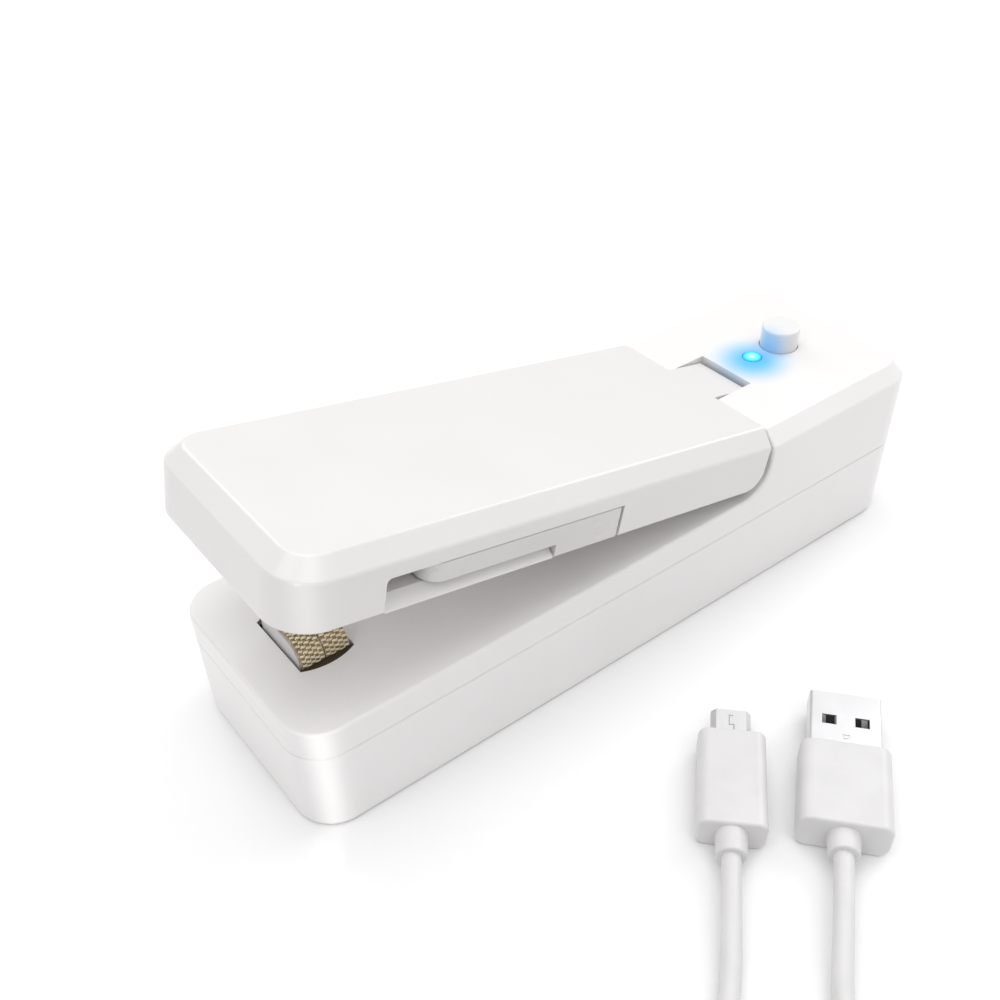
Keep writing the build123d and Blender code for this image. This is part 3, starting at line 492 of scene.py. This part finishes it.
CAD_FINISH = {
    "white": ["base_lower_shell"],
    "white_lit": ["base_upper_shell"],
    "white_arm_painted_shade": ["arm_top_shell", "arm_bottom_plate"],
    "lever": ["cutter_lever"],
    "button": ["power_button"],
    "pvc": ["micro_plug_relief", "micro_plug_overmould", "usb_a_relief", "usb_a_overmould"],
    "tie": ["lead_tie"],
    "heater": ["heater_block"],
    "brown": ["heater_frame"],
    "black": ["board_components", "button_switch", "socket_tongue", "usb_a_tongue"],
    "plug_core": ["micro_plug_core"],
    "gold": ["micro_plug_contacts"],
    "plunger": ["switch_plunger"],
    "silicone": ["press_pad"],
    "ribbon": ["heating_strips"],
    "steel": ["micro_plug_shell", "usb_a_shell"],
    "socket": ["micro_usb_socket"],
    "screw": ["base_screws", "arm_screws", "board_screws"],
    "pin": ["hinge_pin", "cutter_pin"],
    "blade": ["cutter_blade"],
    "nickel": ["battery_tabs", "usb_a_contacts"],
    "lens": ["led_lens"],
    "chip": ["led_chip"],
    "board": ["control_board"],
    "red": ["heater_wires", "battery_wires"],
    "wrap": ["battery_cell"],
}


def finish_nodes():
    """Each CAD node's own material."""
    for finish, names in CAD_FINISH.items():
        for name in names:
            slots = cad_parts[name].data.materials
            slots.clear()
            slots.append(MATERIALS[finish])


finish_nodes()
cord.data.materials.clear()
cord.data.materials.append(MATERIALS["pvc"])


# ---------------------------------------------------------------- mesh code


def make_piece(name, vertices, faces, material, body=None):
    """A smooth mesh in the model's frame that rides on a body, if one is named."""
    mesh = bpy.data.meshes.new(name)
    mesh.from_pydata([tuple(v) for v in vertices], [], faces)
    mesh.update()
    mesh.shade_smooth()
    mesh.materials.append(material)
    piece = bpy.data.objects.new(name, mesh)
    bpy.context.scene.collection.objects.link(piece)
    if body:
        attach(piece, body)
    return piece


def ring(centre, across, up, half_wide, half_high, sides):
    """Points of an ellipse about centre, in the plane of across and up."""
    points = []
    for i in range(sides):
        angle = 2 * math.pi * i / sides
        points.append(centre + across * (half_wide * math.cos(angle)) + up * (half_high * math.sin(angle)))
    return points


def join_rings(rings, vertices, faces):
    """Adds a closed tube through those rings of equal count."""
    start, sides = len(vertices), len(rings[0])
    for points in rings:
        vertices.extend(points)
    for k in range(len(rings) - 1):
        for i in range(sides):
            a, b = start + k * sides + i, start + k * sides + (i + 1) % sides
            faces.append((a, b, b + sides, a + sides))
    last = start + (len(rings) - 1) * sides
    faces.append(tuple(range(start + sides - 1, start - 1, -1)))
    faces.append(tuple(range(last, last + sides)))


# ---------------------------------------------------------------- heater cloth

ARCH_R_MM = 3.6
ARCH_FLAT_MM = 2.6  # from the crown's middle to where the arch bends
CLOTH_DROP_MM = 2.2  # how far the cloth goes down past the arch
CLOTH_REACH_MM = ARCH_FLAT_MM + ARCH_R_MM * math.pi / 2 + CLOTH_DROP_MM
CLOTH_LIFT_MM = 0.32  # middle of the weave above the bare block
CLOTH_TURN_MM = 0.6  # front and rear edges turned down over the block
WARP_PITCH_MM = 0.86
WARP_HALF_SHARE = 0.40  # half the width of a warp, as a share of its pitch
WARP_HALF_HIGH_MM = 0.08
WARP_WAVE_MM = 0.05
WEFT_PITCH_MM = 0.40
WEFT_R_MM = 0.175
WEFT_SWELL_MM = 0.045  # thicker where it shows, thinner where it goes under
WEFT_FLAT = 0.7
WEFT_WAVE_MM = 0.15
WEFT_SLANT_MM = 0.05
ROW_SHAKE_MM = 0.02
YARN_SHAKE_MM = 0.006
GROUND_LOW_MM = 0.1  # the ribbon under the yarns, below their middle
GROUND_BEVEL_MM = 0.05
EDGE_R_MM = 0.13
EDGE_RIPPLE_MM = 0.02
EDGE_PROUD = 1.3  # height of the whipped edge, as a share of its width
EDGE_IN_MM = 0.1  # from the ribbon's front edge to the middle of the whipped edge
STRIP_IN_FRONT_MM = 0.25
STRIP_IN_REAR_MM = 0.05
STRIP_GAP_MM = 0.32
YARN_SIDES = 8
WEFT_RINGS = 8  # for each warp that a weft crosses
WARP_RINGS = 4  # for each weft that a warp crosses
GROUND_STEPS = 96
GROUND_COLUMNS = 8
EDGE_STEPS = 160


def arch_frame(along):
    """A point of the heater's bare arch, in millimetres from its middle, with its outward normal."""
    top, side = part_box("heater_block")[1].z / MM, math.copysign(1, along)
    rest = abs(along) - ARCH_FLAT_MM
    if rest <= 0:
        return Vector((0, along, top)), Vector((0, 0, 1))
    angle = min(rest / ARCH_R_MM, math.pi / 2)
    normal = Vector((0, side * math.sin(angle), math.cos(angle)))
    centre = Vector((0, side * ARCH_FLAT_MM, top - ARCH_R_MM))
    drop = max(0.0, rest - ARCH_R_MM * math.pi / 2)
    return centre + normal * ARCH_R_MM - Vector((0, 0, drop)), normal


def on_cloth(x, along, lift):
    """A point of the cloth in metres, lift millimetres off its middle."""
    point, normal = arch_frame(along)
    return (Vector((x, 0, 0)) + point + normal * (CLOTH_LIFT_MM + lift)) * MM


def make_wefts(name, x_from, x_to, seed):
    """Round yarns along X. They rise over every second warp, and show there as slanted grains."""
    shake = random.Random(seed)
    columns = round((x_to - x_from) / WARP_PITCH_MM)
    pitch = (x_to - x_from) / columns
    vertices, faces = [], []
    for row in range(int(2 * CLOTH_REACH_MM / WEFT_PITCH_MM) + 1):
        row_along = -CLOTH_REACH_MM + row * WEFT_PITCH_MM + shake.uniform(-ROW_SHAKE_MM, ROW_SHAKE_MM)
        rings = []
        for i in range(WEFT_RINGS * columns + 1):
            share = i / WEFT_RINGS
            over = math.cos(math.pi * (share - 0.5 + row))
            slant = WEFT_SLANT_MM * math.sin(2 * math.pi * share)
            along = row_along + slant + shake.uniform(-YARN_SHAKE_MM, YARN_SHAKE_MM)
            _, normal = arch_frame(along)
            across = normal.cross(ALONG_X)
            centre = on_cloth(x_from + share * pitch, along, WEFT_WAVE_MM * over)
            half_wide = (WEFT_R_MM + WEFT_SWELL_MM * over) * MM
            rings.append(ring(centre, across, normal, half_wide, WEFT_FLAT * half_wide, YARN_SIDES))
        join_rings(rings, vertices, faces)
    return make_piece(name, vertices, faces, MATERIALS["weft"], "base")


def make_warps(name, x_from, x_to):
    """Wide flat yarns that go over the arch between the wefts."""
    columns = round((x_to - x_from) / WARP_PITCH_MM)
    pitch = (x_to - x_from) / columns
    steps = int(2 * CLOTH_REACH_MM / WEFT_PITCH_MM) * WARP_RINGS
    vertices, faces = [], []
    for column in range(columns):
        rings = []
        for k in range(steps + 1):
            along = -CLOTH_REACH_MM + k * WEFT_PITCH_MM / WARP_RINGS
            _, normal = arch_frame(along)
            lift = -WARP_WAVE_MM * math.cos(math.pi * (column + k / WARP_RINGS))
            centre = on_cloth(x_from + (column + 0.5) * pitch, along, lift)
            half_wide = WARP_HALF_SHARE * pitch * MM
            rings.append(ring(centre, ALONG_X, normal, half_wide, WARP_HALF_HIGH_MM * MM, YARN_SIDES))
        join_rings(rings, vertices, faces)
    return make_piece(name, vertices, faces, MATERIALS["warp"], "base")


def make_ground(x_from, x_to):
    """The resin-soaked ribbon under the yarns, with its front and rear edges turned down."""
    level, turned = -GROUND_LOW_MM, -GROUND_LOW_MM - CLOTH_TURN_MM
    bevel = GROUND_BEVEL_MM
    profile = [(x_from, turned), (x_from, level - bevel), (x_from + bevel, level)]
    profile += [(x_from + (x_to - x_from) * i / GROUND_COLUMNS, level) for i in range(1, GROUND_COLUMNS)]
    profile += [(x_to - bevel, level), (x_to, level - bevel), (x_to, turned)]
    wide = len(profile)
    vertices, faces = [], []
    for k in range(GROUND_STEPS + 1):
        along = CLOTH_REACH_MM * (2 * k / GROUND_STEPS - 1)
        vertices.extend(on_cloth(x, along, lift) for x, lift in profile)
    for k in range(GROUND_STEPS):
        for i in range(wide - 1):
            a = k * wide + i
            faces.append((a, a + wide, a + wide + 1, a + 1))
    # The ribbon takes the warp's dark browns, partly painted shade for the gaps between the yarns.
    return make_piece("heater_cloth_ground", vertices, faces, MATERIALS["warp"], "base")


def make_edge(x):
    """The whipped front edge of the cloth."""
    vertices, faces, rings = [], [], []
    for k in range(EDGE_STEPS + 1):
        along = CLOTH_REACH_MM * (2 * k / EDGE_STEPS - 1)
        _, normal = arch_frame(along)
        thick = (EDGE_R_MM + EDGE_RIPPLE_MM * math.cos(k * math.pi / 2)) * MM
        rings.append(ring(on_cloth(x, along, 0.0), ALONG_X, normal, thick, EDGE_PROUD * thick, YARN_SIDES))
    join_rings(rings, vertices, faces)
    return make_piece("heater_cloth_edge", vertices, faces, MATERIALS["edge"], "base")


def make_heater_cloth():
    """The ribbon of glass cloth that is stretched over the heater, in two strips of weave."""
    low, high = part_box("heater_cloth")
    x_from, x_to = low.x / MM, high.x / MM
    centre = middle("heater_block").x / MM
    ground = make_ground(x_from, x_to)
    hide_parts("heater_cloth")
    front = (x_from + STRIP_IN_FRONT_MM, centre - STRIP_GAP_MM / 2)
    rear = (centre + STRIP_GAP_MM / 2, x_to - STRIP_IN_REAR_MM)
    yarns = [
        make_wefts("heater_weft_front", *front, 1),
        make_wefts("heater_weft_rear", *rear, 2),
        make_warps("heater_warp_front", *front),
        make_warps("heater_warp_rear", *rear),
        make_edge(x_from + EDGE_IN_MM),
    ]


make_heater_cloth()


# ---------------------------------------------------------------- hinge spring

SPRING_R_MM = 1.75
SPRING_WIRE_R_MM = 0.3
SPRING_TURNS = 4.25
SPRING_PITCH_MM = 0.85
SPRING_FLOOR_LEG_MM = 4.7
SPRING_ARM_LEG_MM = 2.8
SPRING_STEPS = 24  # points for each turn
SPRING_SIDES = 10


def make_spring():
    """Torsion spring about the hinge pin, its coil between the base and the arm. It is one rigid mesh."""
    pin = middle("hinge_pin")
    span = SPRING_TURNS * SPRING_PITCH_MM
    line = []
    steps = int(SPRING_TURNS * SPRING_STEPS)
    for k in range(steps + 1):
        angle = 2 * math.pi * SPRING_TURNS * k / steps
        x, y = math.cos(angle) * SPRING_R_MM, math.sin(angle) * SPRING_R_MM
        line.append(Vector((x, y, span * k / steps)))
    first = (line[0] - line[1]).normalized()
    last = (line[-1] - line[-2]).normalized()
    line = [line[0] + first * SPRING_FLOOR_LEG_MM] + line + [line[-1] + last * SPRING_ARM_LEG_MM]
    turn = Matrix.Rotation(math.radians(90), 4, "X")
    place = Matrix.Translation(pin + mm(0, span / 2, 0))
    line = [place @ (turn @ (point * MM)) for point in line]
    vertices, faces, rings = [], [], []
    wire_r = SPRING_WIRE_R_MM * MM
    for k, point in enumerate(line):
        before, after = line[max(k - 1, 0)], line[min(k + 1, len(line) - 1)]
        ahead = (after - before).normalized()
        out = (ahead.cross(Vector((0, 1, 0)))).normalized()
        rings.append(ring(point, out, ahead.cross(out), wire_r, wire_r, SPRING_SIDES))
    join_rings(rings, vertices, faces)
    spring = make_piece("hinge_spring_wire", vertices, faces, MATERIALS["spring"])
    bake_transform(spring)
    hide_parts("hinge_spring")


make_spring()


# ---------------------------------------------------------------- floor and light

FLOOR_HALF = 3.0
LIGHT_FAR = 1.5
WORLD_STRENGTH = 0.6
STUDIO_LIGHTS = [  # name, azimuth and elevation in degrees, side in metres, watts
    ("overhead", 45.0, 84.0, 1.4, 9.0),
    ("jaw_side", 180.0, 50.0, 0.8, 3.0),
    ("cutter_side", 270.0, 50.0, 0.8, 2.4),
    ("rear_side", 0.0, 35.0, 0.8, 4.9),
    ("far_side", 90.0, 35.0, 0.8, 3.6),
]
CORNER_BEAMS = [  # aim in millimetres, height in metres, watts
    ((-63.8, -17.2, 7.0), 0.032, 0.00015),
    ((-61.4, -16.8, 48.5), 0.016, 0.000035),
]
BEAM_FAR = 0.4
BEAM_WIDE = 0.003
BEAM_AZIMUTH = 224.0
BEAM_ELEVATION = 12.0
BEAM_SPREAD = math.radians(1.0)


def make_floor():
    """A plain pale floor, a little uneven in tone."""
    s = Surface("studio_floor")
    colour = s.mix(s.spread(s.noise(150.0, 2.0), 0.0, 1.0), (0.86, 0.86, 0.865), (0.88, 0.88, 0.88))
    s.set(Base_Color=colour, Roughness=s.spread(s.noise(8.0), 0.55, 0.65))
    half = FLOOR_HALF
    corners = [(-half, -half, 0), (half, -half, 0), (half, half, 0), (-half, half, 0)]
    mesh = bpy.data.meshes.new("floor")
    mesh.from_pydata(corners, [], [(0, 1, 2, 3)])
    mesh.materials.append(s.material)
    floor = bpy.data.objects.new("floor", mesh)
    bpy.context.scene.collection.objects.link(floor)


def towards(azimuth, elevation):
    """Unit vector in that direction, from degrees."""
    azimuth, elevation = math.radians(azimuth), math.radians(elevation)
    flat = math.cos(elevation)
    return Vector((math.cos(azimuth) * flat, math.sin(azimuth) * flat, math.sin(elevation)))


def area_light(name, place, aim, watts, wide, high):
    """A rectangular light at a place, turned towards its aim."""
    data = bpy.data.lights.new(name, "AREA")
    data.shape = "RECTANGLE"
    data.size = wide
    data.size_y = high
    data.energy = watts
    light = bpy.data.objects.new(name, data)
    light.location = place
    light.rotation_mode = "QUATERNION"
    light.rotation_quaternion = (aim - place).to_track_quat("-Z", "Y")
    bpy.context.scene.collection.objects.link(light)
    return light


def make_light():
    """Soft boxes all round, and narrow beams along the near front corners of the base and the arm."""
    world = bpy.data.worlds.new("studio")
    world.use_nodes = True
    background = world.node_tree.nodes["Background"]
    background.inputs["Color"].default_value = (1.0, 1.0, 1.0, 1.0)
    background.inputs["Strength"].default_value = WORLD_STRENGTH
    bpy.context.scene.world = world
    for name, azimuth, elevation, side, watts in STUDIO_LIGHTS:
        area_light(name, towards(azimuth, elevation) * LIGHT_FAR, Vector(), watts, side, side)
    for aim_mm, high, watts in CORNER_BEAMS:
        aim = mm(*aim_mm)
        place = aim + towards(BEAM_AZIMUTH, BEAM_ELEVATION) * BEAM_FAR
        beam = area_light("corner_beam", place, aim, watts, BEAM_WIDE, high)
        beam.data.spread = BEAM_SPREAD


make_floor()
make_light()
bpy.context.scene.view_settings.view_transform = "Standard"
